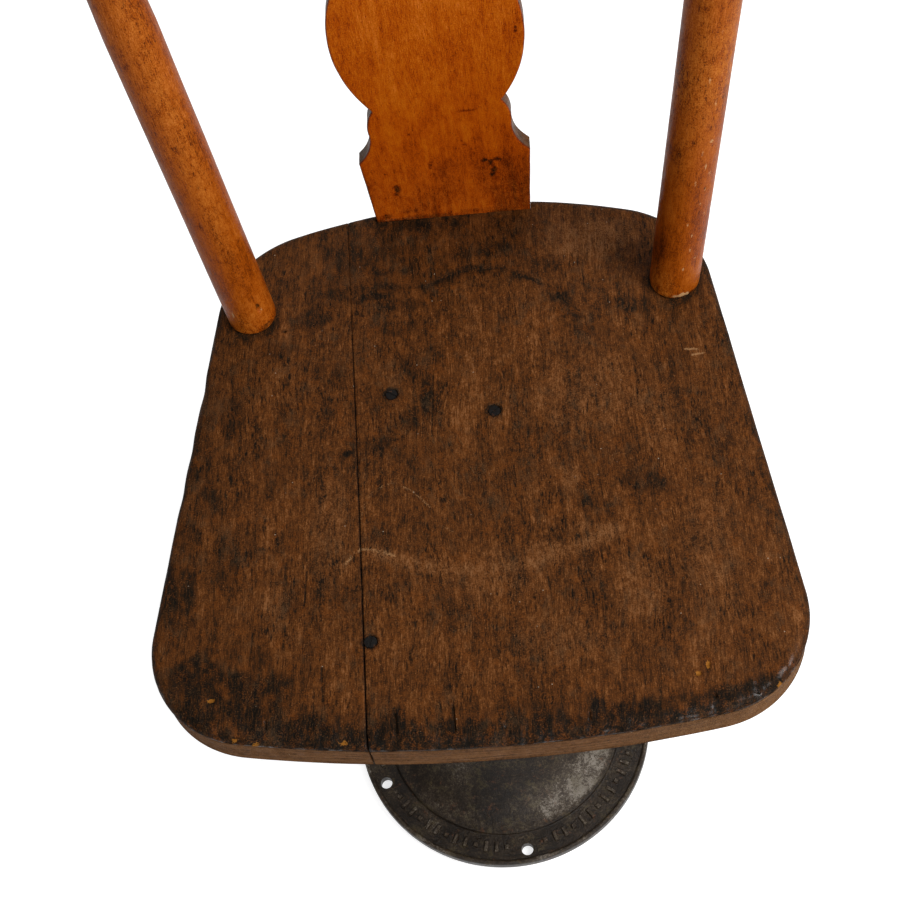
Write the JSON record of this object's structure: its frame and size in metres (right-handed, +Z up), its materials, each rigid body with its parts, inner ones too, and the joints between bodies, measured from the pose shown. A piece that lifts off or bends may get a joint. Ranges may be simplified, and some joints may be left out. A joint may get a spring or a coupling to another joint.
{
  "type": "pedestal side chair",
  "caption": "Worn wooden side chair with a vase-shaped splat and round posts, on a cast iron pedestal with a round flange that bolts to the floor.",
  "frame": {"origin": "centre of the underside of the floor flange, on the floor", "axes": "+Z up along the pedestal's axis; the chair faces -Y; +X is to the right as seen from the front"},
  "size_m": [0.4036, 0.4227, 0.8379],
  "materials": {
    "pedestal_iron": "rusted and grimed bare casting",
    "spider_iron": "rusted bare casting",
    "bolt_steel": "dark, rust-stained",
    "screw_steel": "dull, rust-stained",
    "bolt_head_steel": "grimed over",
    "seat_wood": "dark worn finish with bare edges and chips",
    "dowel_wood": "bare",
    "post_wood": "worn orange shellac",
    "splat_wood": "worn orange shellac",
    "crest_wood": "worn orange shellac",
    "wedge_wood": "darkened end grain"
  },
  "bodies": {
    "root": {"pedestal": "pedestal_iron", "seat_spider": "spider_iron", "spider_bolt": "bolt_steel", "spider_nut": "bolt_steel", "spider_screws": "screw_steel", "seat_board_left": "seat_wood", "seat_board_right": "seat_wood", "seat_dowels": "dowel_wood", "seat_bolts": "bolt_head_steel", "seat_bolt_nuts": "bolt_steel", "back_post_left": "post_wood", "back_post_right": "post_wood", "post_wedges": "wedge_wood", "back_splat": "splat_wood", "splat_screws": "screw_steel", "splat_brads": "screw_steel", "crest_rail": "crest_wood", "crest_pegs": "wedge_wood"}
  },
  "joints": []
}
